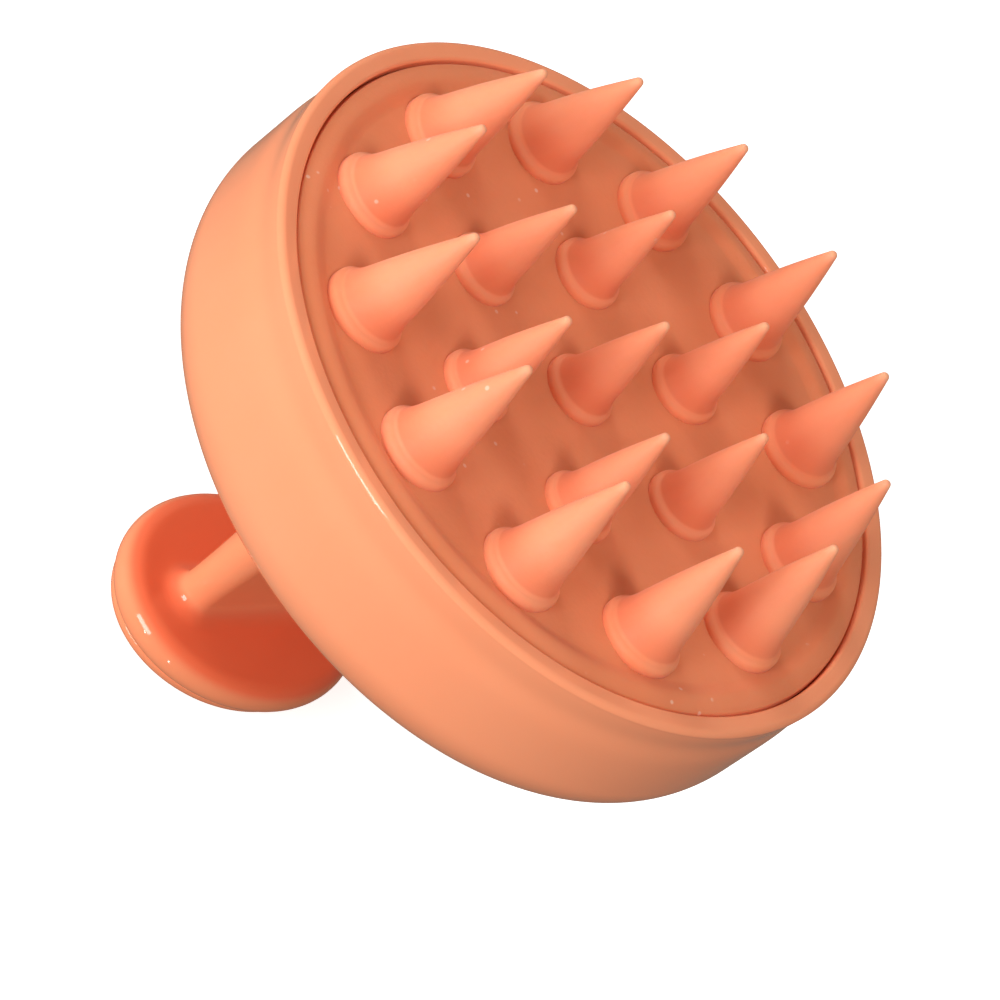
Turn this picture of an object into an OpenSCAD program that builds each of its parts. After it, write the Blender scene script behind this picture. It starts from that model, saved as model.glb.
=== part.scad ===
// Round scalp massager: a silicone bristle pad in a glossy hollow shell,
// with a bladed neck and an oval cap to hold between the fingers.
// It stands on the flat land of its cap, bristles up. The origin is the point of
// that floor face on the shell's axis; +Z runs up the axis and +X along the handle.

/* [Shell] */

// Widest diameter of the shell
shell_d = 84.8; // [70:0.2:105]
// Depth of the shell from its back to the top of its rim
shell_h = 30; // [25:0.2:40]
// Wall thickness at the side
shell_wall = 2.4; // [1.8:0.1:3]
// Radius between the side wall and the domed back
back_r = 8; // [5:0.5:11]
// How far the side wall draws in below the rim
wall_waist = 0.4; // [0:0.1:1]

/* [Bristle pad] */

// Gap between the pad and the shell's rim, all round
pad_gap = 0.3; // [0.3:0.1:1]
// Width of the raised bead at the edge of the pad
bead_w = 3; // [2:0.1:4.5]
// Radius of the hollow the pad's face is dished to
dish_r = 275; // [180:5:600]
// Radius of the inner ring of bristles
inner_ring_r = 16.6; // [14:0.1:20]
// Radius of the outer ring of bristles
outer_ring_r = 31.3; // [27:0.1:32]
// Length of the middle and inner bristles, from the face of the pad
inner_len = 14.7; // [10:0.1:20]
// Length of the outer bristles, from the face of the pad
outer_len = 16.5; // [10:0.1:22]
// Radius of the collar a middle or inner bristle stands on
inner_collar_r = 4.3; // [3.4:0.1:5.5]
// Radius of the collar an outer bristle stands on
outer_collar_r = 4.9; // [3.6:0.1:5.5]
// Radius of a bristle's rounded tip
tip_r = 0.55; // [0.4:0.05:1.2]

/* [Handle] */

// Length of the oval cap
cap_l = 34.2; // [28:0.2:48]
// Width of the oval cap
cap_w = 27; // [24:0.2:29]
// Thickness of the cap from its flat land to its underside
cap_h = 6.4; // [5.6:0.1:9]
// Clear height between the cap and the back of the shell, for the fingers
finger_gap = 19.5; // [17:0.5:34]
// How far the handle stands off the shell's axis, along its length
handle_x = -9.4; // [-11:0.1:0]
// Thickness of the neck next to the cap
neck_t = 4.8; // [4.4:0.1:7]
// Thickness of the neck next to the shell
neck_foot_t = 6.2; // [5.4:0.1:8]
// Length of the neck next to the cap
neck_l = 21.6; // [18:0.2:26]

/* [Fixings] */

// Shank diameter of the two screws that hold the neck
screw_d = 2.6; // [2:0.1:3]
// Distance between the two screws
screw_pitch = 12; // [9:0.5:14]
// Diameter of the pegs that hold the backing plate
peg_d = 3; // [2.4:0.1:4]

/* [Hidden] */

$fn = 96;

SHELL_C = [0.98, 0.60, 0.42];
CAP_C = [0.93, 0.45, 0.27];
PAD_C = [0.88, 0.53, 0.38];
PLATE_C = [0.95, 0.72, 0.58];
STEEL_C = [0.72, 0.73, 0.75];

slip = 0.1;                              // clearance of parts that locate each other
seat_gap = 0.2;                          // clearance of parts that only pass
eps = 0.01;

shell_r = shell_d / 2;
back_z = cap_h + finger_gap;             // outermost point of the domed back
rim_z = back_z + shell_h;                // top of the rim
lip_r = 0.8;                             // rounding of the rim's outer edge
lip_swell_z = rim_z - 1.3;               // top of the side wall's shallow waist
waist_low_z = rim_z - 10;
waist_z = rim_z - 4;
mouth_r = shell_r - shell_wall;          // bore of the shell at the rim
corner_z = back_z + 0.52 * shell_h;      // where the side wall turns into the back
corner_rise = corner_z - back_z;
corner_x = shell_r - back_r;
dome_r = (corner_x * corner_x + corner_rise * corner_rise - back_r * back_r)
         / (2 * (corner_rise - back_r));
dome_z = back_z + dome_r;
dome_end = corner_x * dome_r / (dome_r - back_r);
shell_floor = 2.2;                       // thickness of the domed back

pad_r = mouth_r - pad_gap;
bead_z = rim_z - 0.2;                    // crest of the pad's bead
bead_round = 0.7;                        // rounding of both edges of the bead
face_z = rim_z - 2.9;                    // pad face on the axis
pad_back_z = face_z - 2.4;               // flat back of the pad
plate_t = 3;                             // backing plate
plate_top = pad_back_z - seat_gap;
plate_bot = plate_top - plate_t;
skirt_t = 1.8;                           // pad's skirt round the backing plate
skirt_lip = 1.4;                         // how far it hooks under the plate
skirt_lip_t = 1.6;
skirt_z = plate_bot - seat_gap - skirt_lip_t;
plate_r = pad_r - skirt_t - seat_gap;
ledge_t = 1.6;
ledge_w = 3;
ledge_z = skirt_z - seat_gap;

peg_ring_r = 0.6 * mouth_r;
peg_l = 6;
post_r = peg_d / 2 + 1.6;                // post round each peg's hole
post_top = plate_bot;

collar_h = 1.3;
collar_round = 0.6;
collar_step = 0.85;                      // ledge left round the foot of each bristle
collar_sink = 1;

ring_out = min(outer_ring_r, pad_r - bead_w - outer_collar_r - seat_gap);
ring_in = min(inner_ring_r, 0.53 * ring_out);
border_r = ring_out + 2;                 // the face runs flat from here to the bead

cap_a = cap_l / 2;
cap_b = cap_w / 2;
rim_round = 2.2;                         // rounding of the cap's edge
cap_mid = cap_h - rim_round;             // widest plane of the cap
seam_z = cap_mid - rim_round + 0.4;      // joint between cap and cover
tray_t = 1.8;
tray_dish = 0.5;                         // underside lies this far below its edge
tray_top = cap_h - tray_dish;
tray_floor = tray_top - tray_t;
cap_wall = rim_round + 1;                // depth of the cap's edge, in plan
cover_inset = 0.95;
cover_round = 2.1;                       // height of the cover's rounded edge
cover_bow = 3.4;                         // how far in it reaches the flat land
cover_lip_h = 0.9;                       // spigot that locates the cover in the cap
cover_lip_t = 1.2;

seat_z = back_z + 3.6;                   // flat floor of the pocket in the back
seat_t = 3.4;
foot_l = neck_l + 4;
foot_w = neck_foot_t + 3;
foot_proud = 0.6;                        // foot's face below the dome's lowest point
neck_root_fillet = 2.2;

pilot_d = screw_d - 0.5;
screw_hole_d = screw_d + 2 * seat_gap;
screw_head_d = screw_d * 2;
screw_head_h = 1.8;
screw_grip = 12;
pilot_depth = screw_grip + 1;
screw_slot_w = 0.7;

// An oval of four arcs, tangent where they meet. er is the radius of its ends.
function oval_side_r(a, b, er) = (a * a + b * b - 2 * a * er) / (2 * (b - er));
function end_r(b) = b * 0.845;

// The same oval drawn in by inset, parallel to its edge
module oval2d(a, b, inset) {
  er = end_r(b);
  sr = oval_side_r(a, b, er);
  cut_x = (a - er) * (sr - inset) / (sr - er);
  for (s = [-1, 1])
    translate([s * (a - er), 0])
      circle(er - inset);
  intersection() {
    translate([0, -(sr - b)])
      circle(sr - inset, $fn = 180);
    translate([0, sr - b])
      circle(sr - inset, $fn = 180);
    square([2 * cut_x, 3 * b], center = true);
  }
}

// Carries a profile (x outward from the oval's edge, y up) round that oval
module oval_ring(a, b) {
  er = end_r(b);
  sr = oval_side_r(a, b, er);
  turn = atan2(sr - b, a - er);
  for (s = [0, 180])
    rotate([0, 0, s]) {
      translate([a - er, 0, 0])
        rotate([0, 0, -turn])
          rotate_extrude(angle = 2 * turn)
            translate([er, 0])
              children();
      translate([0, -(sr - b), 0])
        rotate([0, 0, turn])
          rotate_extrude(angle = 180 - 2 * turn, $fn = 180)
            translate([sr, 0])
              children();
    }
}

module stadium2d(l, w) {
  for (s = [-1, 1])
    translate([s * (l - w) / 2, 0])
      circle(w / 2);
  square([l - w, w], center = true);
}

// Carries a profile (x outward from the middle plane, y up) round a straight spine
module stadium_ring(spine) {
  for (s = [0, 180])
    rotate([0, 0, s]) {
      translate([spine / 2, 0, 0])
        rotate([0, 0, -90])
          rotate_extrude(angle = 180)
            children();
      rotate([90, 0, 90])
        linear_extrude(spine, center = true)
          children();
    }
}

module at_handle() {
  translate([handle_x, 0, 0])
    children();
}

module at_screws() {
  at_handle()
    for (s = [-1, 1])
      translate([s * screw_pitch / 2, 0, 0])
        children();
}

module at_pegs() {
  for (i = [0:3])
    rotate([0, 0, 45 + 90 * i])
      translate([peg_ring_r, 0, 0])
        children();
}

module shell_outside2d() {
  translate([0, corner_z])
    square([shell_r - wall_waist - 1, rim_z - lip_r - corner_z]);
  polygon([
    [0, corner_z],
    [shell_r, corner_z],
    [shell_r, waist_low_z],
    [shell_r - wall_waist, waist_z],
    [shell_r, lip_swell_z],
    [shell_r, rim_z - lip_r],
    [0, rim_z - lip_r]
  ]);
  translate([shell_r - lip_r, rim_z - lip_r])
    circle(lip_r);
  translate([0, rim_z - lip_r - eps])
    square([shell_r - lip_r, lip_r + eps]);
  intersection() {
    translate([corner_x, corner_z])
      circle(back_r);
    translate([0, back_z])
      square([shell_r, corner_rise]);
  }
  intersection() {
    translate([0, dome_z])
      circle(dome_r, $fn = 360);
    translate([0, back_z])
      square([dome_end, corner_rise]);
  }
}

module shell_inside2d() {
  translate([0, corner_z])
    square([mouth_r, rim_z - corner_z + 1]);
  translate([corner_x, corner_z])
    circle(back_r - shell_wall);
  intersection() {
    translate([0, dome_z])
      circle(dome_r - shell_floor, $fn = 360);
    translate([0, back_z])
      square([corner_x, corner_rise + eps]);
  }
}

module half_plane() {
  translate([0, -1])
    square([shell_r + 5, rim_z + 5]);
}

// glossy ABS housing: side wall, domed back, rim, posts and the handle's seat
module shell() {
  color(SHELL_C)
    difference() {
      union() {
        rotate_extrude($fn = 180)
          intersection() {
            difference() {
              shell_outside2d();
              shell_inside2d();
            }
            half_plane();
          }
        // ledge the pad's skirt comes down on
        translate([0, 0, ledge_z - ledge_t])
          difference() {
            cylinder(h = ledge_t, r = mouth_r + 0.5, $fn = 180);
            translate([0, 0, -1])
              cylinder(h = ledge_t + 2, r = mouth_r - ledge_w, $fn = 180);
          }
        intersection() {
          union() {
            at_pegs()
              translate([0, 0, back_z])
                cylinder(h = post_top - back_z, r = post_r);
            at_handle()
              translate([0, 0, back_z])
                linear_extrude(seat_z + seat_t - back_z)
                  stadium2d(foot_l + 6, foot_w + 6);
          }
          rotate_extrude($fn = 180)
            intersection() {
              shell_outside2d();
              half_plane();
            }
        }
      }
      // pocket for the neck's foot
      at_handle()
        translate([0, 0, back_z - 1])
          linear_extrude(seat_z - back_z + 1)
            stadium2d(foot_l + 2 * slip, foot_w + 2 * slip);
      at_screws()
        translate([0, 0, back_z])
          cylinder(h = seat_z + seat_t - back_z + 1, d = screw_hole_d);
      at_pegs()
        translate([0, 0, post_top - peg_l - 1])
          cylinder(h = peg_l + 2, d = peg_d + 2 * slip);
    }
}

// neck and cap in one glossy moulding
module handle() {
  color(CAP_C)
    at_handle()
      difference() {
        union() {
          oval_ring(cap_a, cap_b)
            cap_edge2d();
          translate([0, 0, tray_floor])
            linear_extrude(tray_t)
              oval2d(cap_a, cap_b, cap_wall - 0.7);
          stadium_ring(neck_l - neck_t)
            neck2d(tray_top - eps, back_z - foot_proud);
          translate([0, 0, back_z - foot_proud])
            linear_extrude(seat_z - back_z + foot_proud)
              stadium2d(foot_l, foot_w);
        }
        for (s = [-1, 1])
          translate([s * screw_pitch / 2, 0, seat_z - pilot_depth])
            cylinder(h = pilot_depth + 1, d = pilot_d);
      }
}

// Section of the cap's rounded edge, open towards the cover
module cap_edge2d() {
  intersection() {
    union() {
      translate([-rim_round, cap_mid])
        circle(rim_round);
      translate([-cap_wall, cap_mid - rim_round])
        square([cap_wall - rim_round + eps, 2 * rim_round - tray_dish]);
    }
    translate([-cap_wall, seam_z])
      square([cap_wall + 1, cap_h]);
  }
}

// Half section of the neck: a root fillet at the cap, a slow flare, a foot fillet
module neck2d(z0, z1) {
  r0 = neck_t / 2;
  r1 = neck_foot_t / 2;
  rf = neck_root_fillet;
  ff = foot_w / 2 - r1;
  polygon([
    [0, z0],
    [r0, z0],
    [r0, z0 + rf],
    [r1, z1 - ff],
    [r1, z1 + eps],
    [0, z1 + eps]
  ]);
  difference() {
    translate([0, z0])
      square([r0 + rf, rf]);
    translate([r0 + rf, z0 + rf])
      circle(rf);
  }
  difference() {
    translate([0, z1 - ff])
      square([r1 + ff, ff + eps]);
    translate([r1 + ff, z1 - ff])
      circle(ff);
  }
}

// oval lid pressed into the back of the cap, with the flat land it stands on
module cover() {
  top = seam_z - slip;
  color(CAP_C)
    at_handle() {
      linear_extrude(top)
        oval2d(cap_a, cap_b, cover_inset + cover_bow);
      hull()
        for (turn = [18, 36, 54, 72, 90])
          cover_layer(cover_round * (1 - cos(turn)), cover_inset + cover_bow * (1 - sin(turn)));
      linear_extrude(top + cover_lip_h)
        difference() {
          oval2d(cap_a, cap_b, cap_wall + slip);
          oval2d(cap_a, cap_b, cap_wall + slip + cover_lip_t);
        }
    }
}

module cover_layer(z, inset) {
  translate([0, 0, z])
    linear_extrude(eps)
      oval2d(cap_a, cap_b, inset, $fn = 72);
}

// two self-tapping screws, driven from inside the shell into the neck
module neck_screws() {
  head_z = seat_z + seat_t;
  color(STEEL_C)
    at_screws()
      difference() {
        union() {
          translate([0, 0, head_z - seat_t - screw_grip])
            cylinder(h = screw_grip + eps, d = pilot_d - 2 * slip);
          translate([0, 0, seat_z])
            cylinder(h = seat_t + 1, d = screw_d);
          translate([0, 0, head_z])
            cylinder(h = screw_head_h, d = screw_head_d);
        }
        translate([0, 0, head_z + screw_head_h])
          cube([screw_head_d + 1, screw_slot_w, 1.6], center = true);
      }
}

// plate behind the pad, with four pegs pressed into the shell's posts
module backing() {
  color(PLATE_C) {
    translate([0, 0, plate_bot])
      cylinder(h = plate_t, r = plate_r, $fn = 180);
    at_pegs()
      translate([0, 0, plate_bot - peg_l])
        cylinder(h = peg_l + eps, d = peg_d);
  }
}

function face_at(r) = face_z + dish_r - sqrt(dish_r * dish_r - r * r);

module bristle(len, collar_r) {
  foot_r = collar_r - collar_step;
  // collar with a rounded shoulder
  rotate_extrude($fn = 48)
    intersection() {
      union() {
        translate([0, -collar_sink])
          square([collar_r, collar_sink + collar_h - collar_round]);
        translate([0, -collar_sink])
          square([collar_r - collar_round, collar_sink + collar_h]);
        translate([collar_r - collar_round, collar_h - collar_round])
          circle(collar_round);
      }
      translate([0, -collar_sink])
        square([collar_r + 1, len]);
    }
  lean = atan2(foot_r - tip_r, len - tip_r);
  cone_h = len - tip_r - collar_h + eps + tip_r * sin(lean);
  translate([0, 0, collar_h - eps])
    cylinder(h = cone_h, r1 = foot_r, r2 = tip_r * cos(lean), $fn = 48);
  translate([0, 0, len - tip_r])
    sphere(tip_r, $fn = 32);
}

module ring_of(count, ring_r, phase, len, collar_r) {
  for (i = [0:count - 1])
    rotate([0, 0, phase + i * 360 / count])
      translate([0, 0, face_z + dish_r])
        rotate([0, -asin(ring_r / dish_r), 0])
          translate([0, 0, -dish_r])
            bristle(len, collar_r);
}

// silicone pad: dished face, bead, nineteen bristles and the hooked skirt
module pad() {
  color(PAD_C)
    union() {
      difference() {
        union() {
          translate([0, 0, pad_back_z])
            cylinder(h = face_at(border_r) - pad_back_z, r = pad_r - skirt_t / 2, $fn = 180);
          rotate_extrude($fn = 180)
            pad_edge2d();
        }
        translate([0, 0, face_z + dish_r])
          sphere(dish_r, $fn = 360);
      }
      ring_of(1, 0, 0, inner_len, inner_collar_r);
      ring_of(6, ring_in, 0, inner_len, inner_collar_r);
      ring_of(12, ring_out, 15, outer_len, outer_collar_r);
    }
}

module pad_edge2d() {
  translate([pad_r - skirt_t, skirt_z])
    square([skirt_t, bead_z - bead_round - skirt_z]);
  translate([pad_r - skirt_t - skirt_lip, skirt_z])
    square([skirt_lip + eps, skirt_lip_t]);
  translate([pad_r - bead_w, pad_back_z])
    square([bead_w, bead_z - bead_round - pad_back_z]);
  translate([pad_r - bead_round, bead_z - bead_round])
    circle(bead_round);
  translate([pad_r - bead_w + bead_round, bead_z - bead_round])
    circle(bead_round);
  translate([pad_r - bead_w + bead_round, bead_z - 2 * bead_round])
    square([bead_w - 2 * bead_round, 2 * bead_round]);
}

shell();
handle();
cover();
neck_screws();
backing();
pad();
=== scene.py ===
import math

import bmesh
import bpy
from mathutils import Matrix, Vector


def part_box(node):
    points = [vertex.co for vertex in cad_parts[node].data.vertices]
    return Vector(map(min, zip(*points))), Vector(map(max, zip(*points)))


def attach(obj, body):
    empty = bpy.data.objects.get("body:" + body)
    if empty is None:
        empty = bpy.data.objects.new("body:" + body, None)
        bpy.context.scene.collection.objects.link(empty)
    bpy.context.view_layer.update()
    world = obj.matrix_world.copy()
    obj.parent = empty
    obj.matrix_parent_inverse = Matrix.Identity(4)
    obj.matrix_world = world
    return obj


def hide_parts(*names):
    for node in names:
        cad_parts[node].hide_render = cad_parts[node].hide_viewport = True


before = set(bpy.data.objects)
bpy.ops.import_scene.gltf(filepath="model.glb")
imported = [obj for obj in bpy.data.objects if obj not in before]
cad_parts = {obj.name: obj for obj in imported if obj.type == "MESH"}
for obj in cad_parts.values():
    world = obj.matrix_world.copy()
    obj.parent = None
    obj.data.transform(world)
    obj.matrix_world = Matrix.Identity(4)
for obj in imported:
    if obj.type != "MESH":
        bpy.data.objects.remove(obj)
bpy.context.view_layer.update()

# ---------------------------------------------------------------------------
# Shell. One glossy ABS moulding, thrown in peach: side wall, domed back and a
# rolled rim that stands a little proud of the pad it carries.
# ---------------------------------------------------------------------------
mm = 0.001
shell_lo, shell_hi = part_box("shell")
shell_r = shell_hi.x
rim_z, back_z = shell_hi.z, shell_lo.z
wall = 2.4 * mm
floor_t = 2.2 * mm
corner_r = 8 * mm
corner_share = 0.52
corner_z = back_z + corner_share * (rim_z - back_z)
corner_x = shell_r - corner_r
rise = corner_z - back_z
dome_r = (corner_x**2 + rise**2 - corner_r**2) / (2 * (rise - corner_r))
dome_z = back_z + dome_r
lip_r = 0.8 * mm
lip_in_r = 0.45 * mm
rim_fall = 0.1 * mm
waist = 0.28 * mm
waist_at = 3.9 * mm
waist_w = 2.0 * mm
mouth_r = shell_r - wall
spin_steps = 256


def arc(cx, cz, r, a0, a1, n):
    """n + 1 points on a circle, from angle a0 to a1 in degrees."""
    turn = [math.radians(a0 + (a1 - a0) * i / n) for i in range(n + 1)]
    return [(cx + r * math.cos(t), cz + r * math.sin(t)) for t in turn]


def line(a, b, n):
    """n points from a up to, but not including, b."""
    return [(a[0] + (b[0] - a[0]) * i / n, a[1] + (b[1] - a[1]) * i / n) for i in range(n)]


def grid_mesh(name, rings, closed=True):
    """A quad skin through rings of points; a ring of one point is a pole."""
    verts, rows = [], []
    for ring in rings:
        rows.append(range(len(verts), len(verts) + len(ring)))
        verts.extend(ring)
    faces = []
    pairs = list(zip(rows, rows[1:])) + ([(rows[-1], rows[0])] if closed else [])
    for low, high in pairs:
        n = max(len(low), len(high))
        for i in range(n):
            j = (i + 1) % n
            quad = [low[i % len(low)], low[j % len(low)], high[j % len(high)], high[i % len(high)]]
            faces.append([v for k, v in enumerate(quad) if v != quad[k - 1]])
    mesh = bpy.data.meshes.new(name)
    mesh.from_pydata(verts, [], faces)
    mesh.validate()
    bm = bmesh.new()
    bm.from_mesh(mesh)
    bmesh.ops.recalc_face_normals(bm, faces=bm.faces)
    bm.to_mesh(mesh)
    bm.free()
    mesh.polygons.foreach_set("use_smooth", [True] * len(mesh.polygons))
    return mesh


def spun(profile, steps):
    """Rings for a profile of (radius, height) turned about Z."""
    rings = []
    for r, z in profile:
        if r < 1e-7:
            rings.append([(0, 0, z)])
        else:
            turn = [2 * math.pi * i / steps for i in range(steps)]
            rings.append([(r * math.cos(t), r * math.sin(t), z) for t in turn])
    return rings


def place(name, mesh, material, slot, *nodes):
    """Stands a finished mesh in the row frame for the CAD nodes it replaces."""
    obj = bpy.data.objects.new(name, mesh)
    bpy.context.scene.collection.objects.link(obj)
    mesh.materials.clear()
    mesh.materials.append(material)
    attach(obj, "root")
    if nodes:
        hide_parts(*nodes)
    return obj


class Wire:
    """A node's output socket, with arithmetic written as Python."""

    def __init__(self, tree, socket):
        self.tree, self.socket = tree, socket

    def node(self, kind, inputs=None, out=0, **settings):
        made = self.tree.nodes.new(kind)
        for key, value in settings.items():
            setattr(made, key, value)
        for key, value in (inputs or {}).items():
            if isinstance(value, Wire):
                self.tree.links.new(value.socket, made.inputs[key])
            else:
                made.inputs[key].default_value = value
        return Wire(self.tree, made.outputs[out])

    def math(self, operation, *values):
        return self.node("ShaderNodeMath", dict(enumerate(values)), operation=operation)

    def __add__(self, other):
        return self.math("ADD", self, other)

    def __sub__(self, other):
        return self.math("SUBTRACT", self, other)

    def __mul__(self, other):
        return self.math("MULTIPLY", self, other)

    def __truediv__(self, other):
        return self.math("DIVIDE", self, other)

    def __radd__(self, other):
        return self.math("ADD", other, self)

    def __rsub__(self, other):
        return self.math("SUBTRACT", other, self)

    def __rmul__(self, other):
        return self.math("MULTIPLY", other, self)

    def __rtruediv__(self, other):
        return self.math("DIVIDE", other, self)

    def __pow__(self, other):
        return self.math("POWER", self, other)

    def ramp(self, low, high, a=0.0, b=1.0):
        """self carried smoothly from low..high to a..b, held beyond it."""
        keys = {"Value": self, "From Min": low, "From Max": high, "To Min": a, "To Max": b}
        return self.node("ShaderNodeMapRange", keys, interpolation_type="SMOOTHSTEP")

    def tint(self, a, b):
        """Colour a where self is 0, b where it is 1."""
        keys = {0: self, 6: a, 7: b}
        return self.node("ShaderNodeMix", keys, 2, data_type="RGBA")


def shader(name):
    """A new material's Principled node and a Wire to start its expressions from."""
    made = bpy.data.materials.new(name)
    made.use_nodes = True
    tree = made.node_tree
    body = tree.nodes["Principled BSDF"]
    here = tree.nodes.new("ShaderNodeTexCoord")
    return made, body, Wire(tree, here.outputs["Object"])


def feed(body, wire, name):
    wire.tree.links.new(wire.socket, body.inputs[name])


def glossy_plastic(name, light, deep, shade=None):
    """Moulded ABS: near-even colour, faint flow marks, hairline scuffs, a hard gloss."""
    made, body, at = shader(name)
    flow_at = at.node("ShaderNodeMapping", {"Vector": at, "Scale": (55, 55, 9)})
    flow = at.node("ShaderNodeTexNoise", {"Vector": flow_at, "Scale": 1.0, "Detail": 3.0})
    cloud = at.node("ShaderNodeTexNoise", {"Vector": at, "Scale": 38.0, "Detail": 2.0})
    scuff_keys = {"Vector": at, "Scale": (30, 260, 120), "Rotation": (0.4, 0.2, 0.7)}
    scuff_at = at.node("ShaderNodeMapping", scuff_keys)
    scuff = at.node("ShaderNodeTexNoise", {"Vector": scuff_at, "Scale": 9.0, "Detail": 4.0})
    peel = at.node("ShaderNodeTexNoise", {"Vector": at, "Scale": 420.0, "Detail": 1.0})
    mix = cloud.ramp(0.35, 0.65) * 0.7 + flow.ramp(0.4, 0.62) * 0.3
    base = mix.tint(deep, light)
    # optional painted shade laid over the plastic's own colour
    if shade:
        base = shade(base)
    feed(body, base, "Base Color")
    feed(body, 0.06 + scuff.ramp(0.60, 0.74) * 0.10 + cloud * 0.03, "Roughness")
    height = peel * 0.02 + scuff.ramp(0.64, 0.76) * 0.03 + flow * 0.03
    bump = at.node("ShaderNodeBump", {"Strength": 0.12, "Distance": 0.0004, "Height": height})
    feed(body, bump, "Normal")
    body.inputs["IOR"].default_value = 1.5
    body.inputs["Subsurface Weight"].default_value = 0.12
    body.inputs["Subsurface Radius"].default_value = (1.0, 0.35, 0.2)
    body.inputs["Subsurface Scale"].default_value = 0.0025
    return made


def shell_outside():
    lean = math.degrees(math.atan2(corner_x, dome_z - corner_z))
    back = arc(0, dome_z, dome_r, -90, -90 + lean, 40)[1:]
    corner = arc(corner_x, corner_z, corner_r, -90 + lean, 0, 28)[1:]
    side = []
    top = rim_z - lip_r
    for i in range(1, 41):
        z = corner_z + (top - corner_z) * i / 40
        draw = waist * math.exp(-(((rim_z - waist_at - z) / waist_w) ** 2))
        side.append((shell_r - draw, z))
    return [(0, back_z)] + back + corner + side


def shell_inside():
    lean = math.degrees(math.atan2(corner_x, dome_z - corner_z))
    edge = arc(mouth_r + lip_in_r, rim_z - rim_fall - lip_in_r, lip_in_r, 90, 180, 8)
    drop = [(mouth_r, z) for z in (rim_z - 3 * mm, rim_z - 8 * mm, corner_z)]
    corner = arc(corner_x, corner_z, corner_r - wall, 0, -90 + lean, 16)[1:]
    back = arc(0, dome_z, dome_r - floor_t, -90 + lean, -90, 24)[1:-1]
    return edge + drop + corner + back + [(0, back_z + floor_t)]


lip = arc(shell_r - lip_r, rim_z - lip_r, lip_r, 0, 90, 12)[1:]
shell_profile = shell_outside() + lip + shell_inside()
shell_plastic = glossy_plastic("glossy shell plastic", (1.0, 0.375, 0.198, 1), (1.0, 0.355, 0.18, 1))
place(
    "shell_moulding",
    grid_mesh("shell_moulding", spun(shell_profile, spin_steps), closed=False),
    shell_plastic,
    "shell_plastic",
    "shell",
)

# ---------------------------------------------------------------------------
# Handle. Neck and cap come out of one mould: a thin blade to pinch, flared into
# the shell's back, and an oval cap with a dished underside for the fingertips.
# ---------------------------------------------------------------------------
handle_lo, handle_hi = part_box("handle")
handle_x = (handle_lo.x + handle_hi.x) / 2
cap_a = (handle_hi.x - handle_lo.x) / 2
cap_b = (handle_hi.y - handle_lo.y) / 2
seam_z = handle_lo.z
cap_h = 6.4 * mm
edge_r = 2.2 * mm
cap_mid = cap_h - edge_r
dish_depth = 0.15 * mm
neck_l, neck_t = 21.6 * mm, 4.8 * mm
foot_grow = 0.8 * mm
root_fillet = 2.0 * mm
foot_fillet = 3.4 * mm
sink = 0.1 * mm
round_steps = 192
under_turn = 55
plug_h = 0.9 * mm
# painted shade colour for the cap's underside
painted_shade_orange = (1.0, 0.205, 0.092, 1)


def even(curve, n):
    """n points spaced evenly along a closed polyline."""
    ends = curve[1:] + curve[:1]
    lengths = [math.dist(a, b) for a, b in zip(curve, ends)]
    total, out, k, run = sum(lengths), [], 0, 0.0
    for i in range(n):
        want = total * i / n
        while run + lengths[k] < want:
            run += lengths[k]
            k += 1
        t = (want - run) / lengths[k]
        out.append(tuple(p + (q - p) * t for p, q in zip(curve[k], ends[k])))
    return out


def oval(inset):
    turn = [2 * math.pi * i / 720 for i in range(720)]
    a, b = cap_a, cap_b
    out = []
    for t in turn:
        nx, ny = math.cos(t) / a, math.sin(t) / b
        size = math.hypot(nx, ny)
        out.append((a * math.cos(t) - inset * nx / size, b * math.sin(t) - inset * ny / size))
    return even(out, round_steps)


def blade(grow):
    """The neck's outline in plan, swollen by grow."""
    r = neck_t / 2 + grow
    spine = (neck_l - neck_t) / 2
    right = [(spine + x, y) for x, y in arc(0, 0, r, -90, 90, 90)]
    left = [(-spine + x, y) for x, y in arc(0, 0, r, 90, 270, 90)]
    outline = even(right + left, 720)
    start = max(range(720), key=lambda i: (outline[i][0], -abs(outline[i][1])))
    return even(outline[start:] + outline[:start], round_steps)


def on_back(x, y):
    return dome_z - math.sqrt(dome_r**2 - (x + handle_x) ** 2 - y**2) + sink


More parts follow.
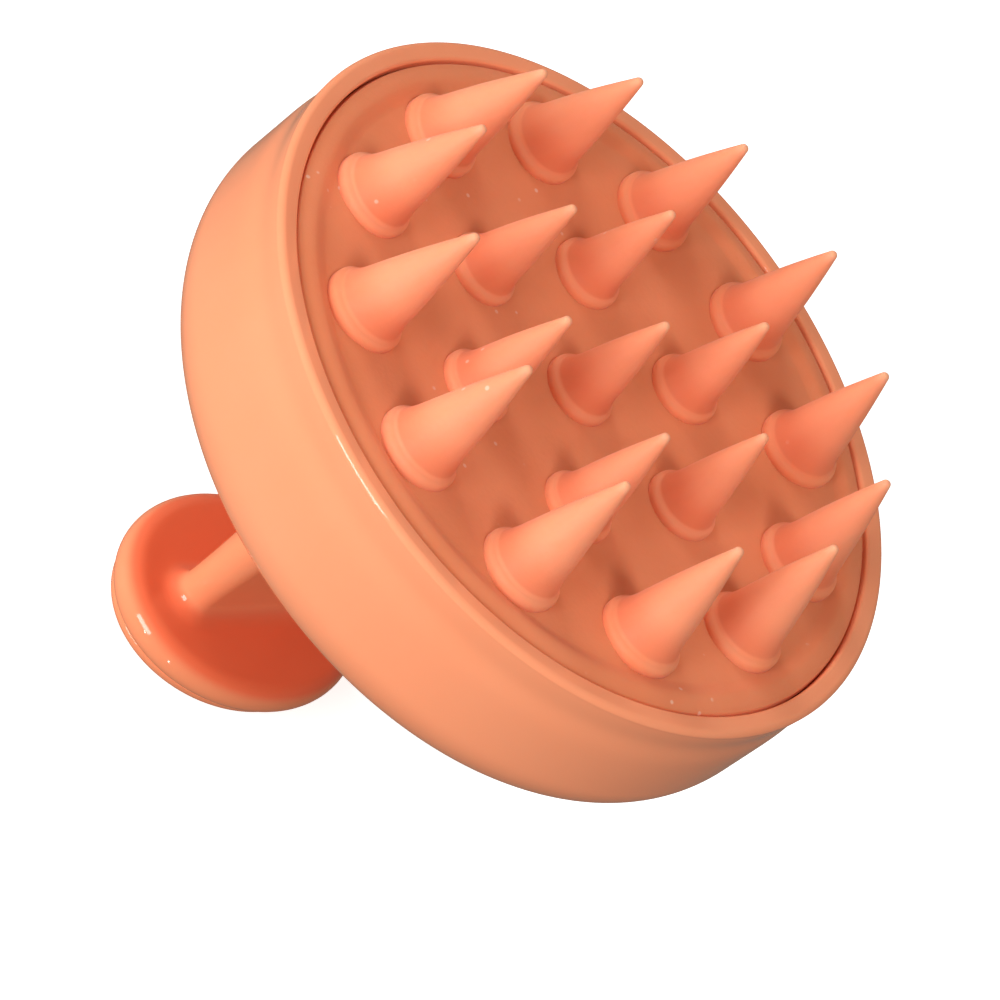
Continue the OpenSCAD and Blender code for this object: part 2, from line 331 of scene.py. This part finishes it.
def handle_rings():
    rings = []
    # foot: a pole inside the shell wall, then the flare up to the neck
    outer = blade(foot_grow + foot_fillet)
    for s in (0.0, 0.35, 0.7):
        if s == 0:
            rings.append([(0, 0, on_back(0, 0))])
        else:
            rings.append([(x * s, y * s, on_back(x * s, y * s)) for x, y in outer])
    for i in range(12):
        t = math.radians(90 * (1 - i / 12))
        swell, drop = foot_fillet * (1 - math.cos(t)), foot_fillet * (1 - math.sin(t))
        rings.append([(x, y, on_back(x, y) - drop) for x, y in blade(foot_grow + swell)])
    # neck: a slow taper towards the cap
    bottom = cap_h - dish_depth
    for i in range(17):
        s = i / 16
        low = bottom + root_fillet
        ring = blade(foot_grow * (1 - s) ** 1.5)
        rings.append([(x, y, (on_back(x, y) - foot_fillet) * (1 - s) + low * s) for x, y in ring])
    for i in range(1, 11):
        t = math.radians(90 * i / 10)
        swell = root_fillet * (1 - math.cos(t))
        rings.append([(x, y, bottom + root_fillet * (1 - math.sin(t))) for x, y in blade(swell)])
    # underside: dished from the neck out to the crest of the edge
    inner, crest = blade(root_fillet), oval(edge_r)
    for i in range(1, 19):
        s = i / 18
        z = bottom + dish_depth * s * s * (3 - 2 * s)
        pairs = zip(inner, crest)
        rings.append([(p[0] + (q[0] - p[0]) * s, p[1] + (q[1] - p[1]) * s, z) for p, q in pairs])
    for i in range(1, 17):
        t = math.radians(90 - i * (90 + under_turn) / 16)
        ring = oval(edge_r - edge_r * math.cos(t))
        rings.append([(x, y, cap_mid + edge_r * math.sin(t)) for x, y in ring])
    under = min(p[2] for p in rings[-1])
    for s in (0.86, 0.4):
        rings.append([(x * s, y * s, under + plug_h) for x, y in oval(0)])
    rings.append([(0, 0, under + plug_h)])
    return [[(x + handle_x, y, z) for x, y, z in ring] for ring in rings]


def painted_underside_shade(base):
    """Painted shade: deeper orange on the flat underside, where the cap lies in the shell's shade, fading
    out over the rounded edge.
    """
    at = base.node("ShaderNodeTexCoord", out=3)
    x, y, z = (at.node("ShaderNodeSeparateXYZ", {"Vector": at}, k) for k in range(3))
    along, across = (x - handle_x) / cap_a, y / cap_b
    inside = (along * along + across * across).ramp(0.99, 0.87)
    below_root = z.ramp(cap_h + 1.6 * mm, cap_h + 0.2 * mm)
    above_edge = z.ramp(cap_h - 2.4 * mm, cap_h - 1.4 * mm)
    return (inside * below_root * above_edge).tint(base, painted_shade_orange)


# The handle's plastic is a slightly deeper copy of the shell's plastic, as painted shade, with the
# painted underside shade on top.
handle_plastic = glossy_plastic(
    "glossy handle plastic", (1.0, 0.345, 0.175, 1), (1.0, 0.325, 0.158, 1), painted_underside_shade
)
place(
    "handle_moulding",
    grid_mesh("handle_moulding", handle_rings(), closed=False),
    handle_plastic,
    "handle_plastic",
    "handle",
)

# ---------------------------------------------------------------------------
# Cover. An oval lid of the same plastic snapped into the back of the cap; its
# flat land is what the brush stands on.
# ---------------------------------------------------------------------------
cover_lo, cover_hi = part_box("cover")
cover_in = cap_a - (cover_hi.x - cover_lo.x) / 2
cover_h = 2.1 * mm
cover_bow = 3.4 * mm
seam_gap = 0.05 * mm
cover_top = seam_z - seam_gap
cover_edge = 0.15 * mm


def cover_rings():
    rings = [[(0, 0, cover_lo.z)]]
    for s in (0.3, 0.6, 0.85):
        rings.append([(x * s, y * s, cover_lo.z) for x, y in oval(cover_in + cover_bow)])
    for i in range(17):
        t = math.radians(90 * i / 16)
        ring = oval(cover_in + cover_bow * (1 - math.sin(t)))
        rings.append([(x, y, cover_lo.z + cover_h * (1 - math.cos(t))) for x, y in ring])
    rings.append([(x, y, cover_top - cover_edge) for x, y in oval(cover_in)])
    rings.append([(x, y, cover_top) for x, y in oval(cover_in + cover_edge)])
    rings.append([(x * 0.8, y * 0.8, cover_top) for x, y in oval(cover_in)])
    rings.append([(0, 0, cover_top)])
    return [[(x + handle_x, y, z) for x, y, z in ring] for ring in rings]


# The cover wears the handle's plastic, slightly deeper than the shell's as painted shade.
place(
    "cap_cover",
    grid_mesh("cap_cover", cover_rings(), closed=False),
    handle_plastic,
    "handle_plastic",
    "cover",
)

# ---------------------------------------------------------------------------
# Screws. Two plain steel self-tappers inside the shell; never seen from
# outside, so the CAD solids stay and only get their steel.
# ---------------------------------------------------------------------------
steel, steel_body, steel_at = shader("screw steel")
turned_at = steel_at.node("ShaderNodeMapping", {"Vector": steel_at, "Scale": (200, 200, 2600)})
turned = steel_at.node("ShaderNodeTexNoise", {"Vector": turned_at, "Scale": 1.0, "Detail": 3.0})
feed(steel_body, turned.tint((0.50, 0.51, 0.53, 1), (0.68, 0.69, 0.71, 1)), "Base Color")
feed(steel_body, 0.24 + turned * 0.2, "Roughness")
marks = {"Strength": 0.2, "Distance": 0.0001, "Height": turned}
feed(steel_body, steel_at.node("ShaderNodeBump", marks), "Normal")
steel_body.inputs["Metallic"].default_value = 1.0
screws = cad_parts["neck_screws"]
screws.data.materials.clear()
screws.data.materials.append(steel)

# ---------------------------------------------------------------------------
# Backing plate. Uncoloured satin ABS behind the pad, pressed on the shell's
# posts; hidden, so the CAD solid stays with a moulded finish.
# ---------------------------------------------------------------------------
plate_plastic, plate_body, plate_at = shader("satin plate plastic")
grain = plate_at.node("ShaderNodeTexNoise", {"Vector": plate_at, "Scale": 900.0, "Detail": 2.0})
patch = plate_at.node("ShaderNodeTexNoise", {"Vector": plate_at, "Scale": 30.0, "Detail": 2.0})
feed(plate_body, patch.tint((0.84, 0.44, 0.26, 1), (0.90, 0.50, 0.32, 1)), "Base Color")
feed(plate_body, 0.42 + grain * 0.16, "Roughness")
satin = {"Strength": 0.2, "Distance": 0.0002, "Height": grain}
feed(plate_body, plate_at.node("ShaderNodeBump", satin), "Normal")
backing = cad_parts["backing"]
backing.data.materials.clear()
backing.data.materials.append(plate_plastic)

# ---------------------------------------------------------------------------
# Pad. Soft matt silicone: a shallow dished face inside a raised round bead,
# with a skirt that hooks round the backing plate inside the shell.
# ---------------------------------------------------------------------------
pad_gap = 0.3 * mm
outer_ring_r = 31.3 * mm
pad_r = mouth_r - pad_gap
border_w = 2 * mm
cove_in = 4 * mm
crest_in = 1.9 * mm
bead_fall = 0.3 * mm
bead_edge_r = 0.35 * mm
seal_drop = 1 * mm
seal_h = 0.9 * mm
seal_reach = 0.2 * mm
# painted shade low on the bristles, and a painted glow of light through their tips
painted_foot_shade = (0.88, 0.255, 0.125, 1)
painted_tip_glow = (1.0, 0.48, 0.30, 1)
lint_tone = (1.0, 0.78, 0.66, 1)
bead_z = rim_z - 0.2 * mm
face_z = rim_z - 2.9 * mm
dish_r = 275 * mm
pad_back = face_z - 2.4 * mm
skirt_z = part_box("pad")[0].z
skirt_t = 1.8 * mm


def face_at(r):
    return face_z + dish_r - math.sqrt(dish_r**2 - r**2)


def pad_profile():
    """Dished face, flat border, bead, sealing edge, skirt, and the flat back."""
    border_r, cove_r = outer_ring_r + border_w, pad_r - cove_in
    crest_r, brow_r = pad_r - crest_in, pad_r - bead_edge_r
    border_z = face_at(border_r)
    face = [(border_r * i / 24, face_at(border_r * i / 24)) for i in range(25)]
    border = line((border_r, border_z), (cove_r, border_z), 3)[1:]
    bank = []
    for i in range(17):
        s = i / 16
        rise = s * s * (3 - 2 * s)
        bank.append((cove_r + (crest_r - cove_r) * s, border_z + (bead_z - border_z) * rise))
    brow = []
    for i in range(1, 12):
        s = i / 12
        brow.append((crest_r + (brow_r - crest_r) * s, bead_z - bead_fall * s**2))
    crest = brow + arc(brow_r, bead_z - bead_fall - bead_edge_r, bead_edge_r, 78, 0, 10)
    seal_z, seal_r = bead_z - seal_drop, pad_r + seal_reach
    seal_end = seal_z - seal_h
    seal = [(pad_r, seal_z), (seal_r, seal_z - 0.15 * mm), (seal_r, seal_end), (pad_r, seal_end)]
    skirt = [(pad_r, skirt_z + 0.3 * mm), (pad_r - 0.3 * mm, skirt_z), (pad_r - skirt_t, skirt_z)]
    inside = [(pad_r - skirt_t, pad_back), (0, pad_back)]
    return face + border + bank + crest + seal + skirt + inside


def silicone(name, light, deep, has_height):
    """Soft matt silicone: fine tooth, a milky edge, a little lint caught on it; on the bristles, painted
    shade low on each cone and a painted glow at the tip.
    """
    made, body, at = shader(name)
    tooth = at.node("ShaderNodeTexNoise", {"Vector": at, "Scale": 1500.0, "Detail": 2.0})
    cloud = at.node("ShaderNodeTexNoise", {"Vector": at, "Scale": 60.0, "Detail": 3.0})
    lint = at.node("ShaderNodeTexVoronoi", {"Vector": at, "Scale": 430.0, "Randomness": 1.0})
    pick = at.node("ShaderNodeTexNoise", {"Vector": at, "Scale": 75.0, "Detail": 1.0})
    speck = lint.ramp(0.14, 0.07) * pick.ramp(0.58, 0.64)
    base = cloud.ramp(0.35, 0.65).tint(deep, light)
    if has_height:
        # Bristles: painted shade low on each cone, fading up to the light tone, the collar kept plain; a
        # painted glow of light through the thin tip.
        up = at.node("ShaderNodeAttribute", {}, 2, attribute_name="height")
        base = up.ramp(0.085, 0.105).tint(base, up.ramp(0.10, 0.42).tint(painted_foot_shade, light))
        base = (up.ramp(0.90, 1.0) * 0.5).tint(base, painted_tip_glow)
    base = (speck * 0.45).tint(base, lint_tone)
    feed(body, base, "Base Color")
    feed(body, 0.50 + tooth * 0.14 + cloud * 0.06, "Roughness")
    bump = at.node("ShaderNodeBump", {"Strength": 0.25, "Distance": 0.00012, "Height": tooth})
    feed(body, bump, "Normal")
    body.inputs["IOR"].default_value = 1.41
    body.inputs["Subsurface Weight"].default_value = 0.3
    body.inputs["Subsurface Radius"].default_value = (1.0, 0.32, 0.16)
    body.inputs["Subsurface Scale"].default_value = 0.003
    body.inputs["Sheen Weight"].default_value = 0.08
    body.inputs["Sheen Roughness"].default_value = 0.5
    return made


# The pad's silicone is a darker copy of the bristles' silicone, though both are one moulding, as painted
# shade on the pad.
shaded_pad_silicone = silicone("pad silicone", (0.87, 0.285, 0.135, 1), (0.82, 0.26, 0.118, 1), False)
place(
    "silicone_pad",
    grid_mesh("silicone_pad", spun(pad_profile(), spin_steps), closed=False),
    shaded_pad_silicone,
    "silicone",
    "pad",
)

# ---------------------------------------------------------------------------
# Bristles. Part of the pad's moulding: soft cones on small collars, one in the
# middle and two rings round it, each leaning with the dish it grows from.
# ---------------------------------------------------------------------------
inner_ring_r = 16.6 * mm
inner_len, outer_len = 14.7 * mm, 16.5 * mm
inner_collar, outer_collar = 4.3 * mm, 4.9 * mm
collar_h = 1.3 * mm
collar_step = 0.85 * mm
tip_r = 0.55 * mm
belly = 0.16 * mm
collar_round = 0.85 * mm
collar_sink = 1 * mm
blend_h = 1.3 * mm
blend_out = 0.12 * mm


def bristle_mesh(name, length, collar):
    """A tapering cone rising out of a low round collar, turned on its own axis."""
    foot = collar - collar_step
    lean = math.degrees(math.atan2(foot - tip_r, length - tip_r - collar_h))
    tip = arc(0, length - tip_r, tip_r, lean, 90, 8)
    root = [(0, -collar_sink), (collar, -collar_sink)]
    shoulder = arc(collar - collar_round, collar_h - collar_round, collar_round, 0, 55, 7)
    start = (foot, collar_h)
    climb = tip[0][1] - start[1]
    rise = []
    for r, z in line(start, tip[0], 24):
        if z > collar_h + blend_h:
            rise.append((r + belly * math.sin(math.pi * (z - start[1]) / climb), z))
    a, b, c = shoulder[-1], (foot + blend_out, collar_h + 0.02 * mm), rise[0]
    fillet = []
    for i in range(1, 8):
        t = i / 8
        fillet.append(tuple((1 - t) ** 2 * a[k] + 2 * t * (1 - t) * b[k] + t * t * c[k] for k in (0, 1)))
    profile = root + shoulder + fillet + rise + tip[:-1] + [(0, length)]
    mesh = grid_mesh(name, spun(profile, 64), closed=False)
    up = mesh.attributes.new("height", "FLOAT", "POINT")
    up.data.foreach_set("value", [max(v.co.z, 0) / length for v in mesh.vertices])
    return mesh


def ring_tree():
    """Geometry nodes that stand copies of a bristle round a ring of the dish."""
    tree = bpy.data.node_groups.new("bristle ring", "GeometryNodeTree")
    face = tree.interface
    face.new_socket("Bristle", in_out="INPUT", socket_type="NodeSocketGeometry")
    count = face.new_socket("Count", in_out="INPUT", socket_type="NodeSocketInt")
    ring = face.new_socket("Ring radius", in_out="INPUT", socket_type="NodeSocketFloat")
    phase = face.new_socket("Phase", in_out="INPUT", socket_type="NodeSocketFloat")
    dish = face.new_socket("Dish radius", in_out="INPUT", socket_type="NodeSocketFloat")
    height = face.new_socket("Face height", in_out="INPUT", socket_type="NodeSocketFloat")
    coat = face.new_socket("Material", in_out="INPUT", socket_type="NodeSocketMaterial")
    face.new_socket("Ring", in_out="OUTPUT", socket_type="NodeSocketGeometry")
    given = tree.nodes.new("NodeGroupInput")
    at = {s.name: Wire(tree, s) for s in given.outputs if s.name}
    start = at["Count"]
    turn = start.node("GeometryNodeInputIndex") * (2 * math.pi) / at["Count"] + at["Phase"]
    radius = at["Ring radius"]
    drop = at["Dish radius"] ** 2.0 - radius * radius
    z = at["Face height"] + at["Dish radius"] - drop ** 0.5
    x = radius * start.math("COSINE", turn)
    y = radius * start.math("SINE", turn)
    spot = start.node("ShaderNodeCombineXYZ", {"X": x, "Y": y, "Z": z})
    lean = 0.0 - start.math("ARCSINE", radius / at["Dish radius"])
    angles = start.node("ShaderNodeCombineXYZ", {"X": 0.0, "Y": lean, "Z": turn})
    points = start.node("GeometryNodePoints", {"Count": at["Count"], "Position": spot})
    turned = start.node("FunctionNodeEulerToRotation", {"Euler": angles})
    stood = start.node(
        "GeometryNodeInstanceOnPoints",
        {"Points": points, "Instance": at["Bristle"], "Rotation": turned},
    )
    real = start.node("GeometryNodeRealizeInstances", {"Geometry": stood})
    coated = start.node("GeometryNodeSetMaterial", {"Geometry": real, "Material": at["Material"]})
    done = tree.nodes.new("NodeGroupOutput")
    tree.links.new(coated.socket, done.inputs[0])
    names = (count, ring, phase, dish, height, coat)
    return tree, [s.identifier for s in names]


def bristle_ring(name, mesh, material, *values):
    """One ring as a plain mesh in the row frame."""
    maker = bpy.data.objects.new(name + " maker", mesh)
    bpy.context.scene.collection.objects.link(maker)
    nodes = maker.modifiers.new("ring", "NODES")
    nodes.node_group = ring_group
    for key, value in zip(ring_keys, (*values, material)):
        nodes[key] = value
    bpy.context.view_layer.update()
    graph = bpy.context.evaluated_depsgraph_get()
    made = bpy.data.meshes.new_from_object(maker.evaluated_get(graph))
    bpy.data.objects.remove(maker)
    made.polygons.foreach_set("use_smooth", [True] * len(made.polygons))
    return place(name, made, material, "silicone", "pad")


ring_group, ring_keys = ring_tree()
bristle_silicone = silicone("bristle silicone", (0.98, 0.345, 0.185, 1), (0.95, 0.30, 0.145, 1), True)
inner_cone = bristle_mesh("inner bristle", inner_len, inner_collar)
outer_cone = bristle_mesh("outer bristle", outer_len, outer_collar)
rings = (
    ("middle_bristle", inner_cone, 1, 0.0, 0.0),
    ("inner_bristles", inner_cone, 6, inner_ring_r, 0.0),
    ("outer_bristles", outer_cone, 12, outer_ring_r, math.radians(15)),
)
for name, cone, count, ring_r, phase in rings:
    bristle_ring(name, cone, bristle_silicone, count, ring_r, phase, dish_r, face_z)

# ---------------------------------------------------------------------------
# Studio. A white paper floor under the brush, a broad key from the left, a
# small front lamp for the shadows, dull fills, and two sparks for the gloss.
# ---------------------------------------------------------------------------
eye = Vector((-371.1, -166.6, 346.8)) * mm
right = Vector((0.68518, -0.34704, 0.64038))
up = Vector((0.00743, 0.88248, 0.47030))
back = right.cross(up)
focal = 168.6
sensor = 36.0

camera_data = bpy.data.cameras.new("camera")
camera_data.lens = focal
camera_data.sensor_width = sensor
camera_data.clip_start = 0.01
camera_data.clip_end = 20
camera = bpy.data.objects.new("camera", camera_data)
bpy.context.scene.collection.objects.link(camera)
turn = Matrix((right, up, back)).transposed()
camera.matrix_world = Matrix.Translation(eye) @ turn.to_4x4()
bpy.context.scene.camera = camera

middle = Vector((0, 0, 0.045))


far = 0.9


def lamp(name, off, around, width, watts, shines=False):
    """A square light, off degrees from the lens and around it from the right."""
    data = bpy.data.lights.new(name, "AREA")
    data.shape = "RECTANGLE"
    data.size, data.size_y = width, width
    data.energy = watts
    obj = bpy.data.objects.new(name, data)
    bpy.context.scene.collection.objects.link(obj)
    out_by, turned_by = math.radians(off), math.radians(around)
    aside = right * math.cos(turned_by) + up * math.sin(turned_by)
    obj.location = middle + (aside * math.sin(out_by) + back * math.cos(out_by)) * far
    obj.rotation_mode = "QUATERNION"
    obj.rotation_quaternion = (middle - obj.location).to_track_quat("-Z", "Y")
    obj.visible_glossy = shines


lamp("key", 25, 180, width=0.36, watts=4.4, shines=True)
lamp("front", 40, 8, width=0.13, watts=2.2)
lamp("left high", 50, 158, width=0.50, watts=2.0)
lamp("left low", 50, 202, width=0.50, watts=0.9)
lamp("rim left", 78, 135, width=0.40, watts=2.2)
lamp("rim top", 78, 90, width=0.30, watts=1.6)
lamp("rim right", 78, 315, width=0.30, watts=0.8)
lamp("spark left", 40, 205, width=0.03, watts=0.30, shines=True)
lamp("spark low", 52, 250, width=0.025, watts=0.16, shines=True)

floor_w = 4
corners = [(-floor_w, -floor_w, 0), (floor_w, -floor_w, 0), (floor_w, floor_w, 0), (-floor_w, floor_w, 0)]
floor_mesh = bpy.data.meshes.new("floor")
floor_mesh.from_pydata(corners, [], [(0, 1, 2, 3)])
paper, paper_body, paper_at = shader("white paper")
fibre = paper_at.node("ShaderNodeTexNoise", {"Vector": paper_at, "Scale": 90.0, "Detail": 2.0})
feed(paper_body, fibre.tint((0.90, 0.90, 0.90, 1), (0.92, 0.92, 0.92, 1)), "Base Color")
paper_body.inputs["Roughness"].default_value = 0.9
paper_body.inputs["Emission Color"].default_value = (1, 1, 1, 1)
paper_body.inputs["Emission Strength"].default_value = 0.8
floor_mesh.materials.append(paper)
floor = bpy.data.objects.new("floor", floor_mesh)
bpy.context.scene.collection.objects.link(floor)
floor.visible_diffuse = False
floor.visible_glossy = False
floor.visible_shadow = False

world = bpy.data.worlds.new("room")
world.use_nodes = True
world.node_tree.nodes["Background"].inputs["Color"].default_value = (1.0, 0.74, 0.58, 1)
world.node_tree.nodes["Background"].inputs["Strength"].default_value = 0.23
bpy.context.scene.world = world
bpy.context.scene.view_settings.view_transform = "Standard"
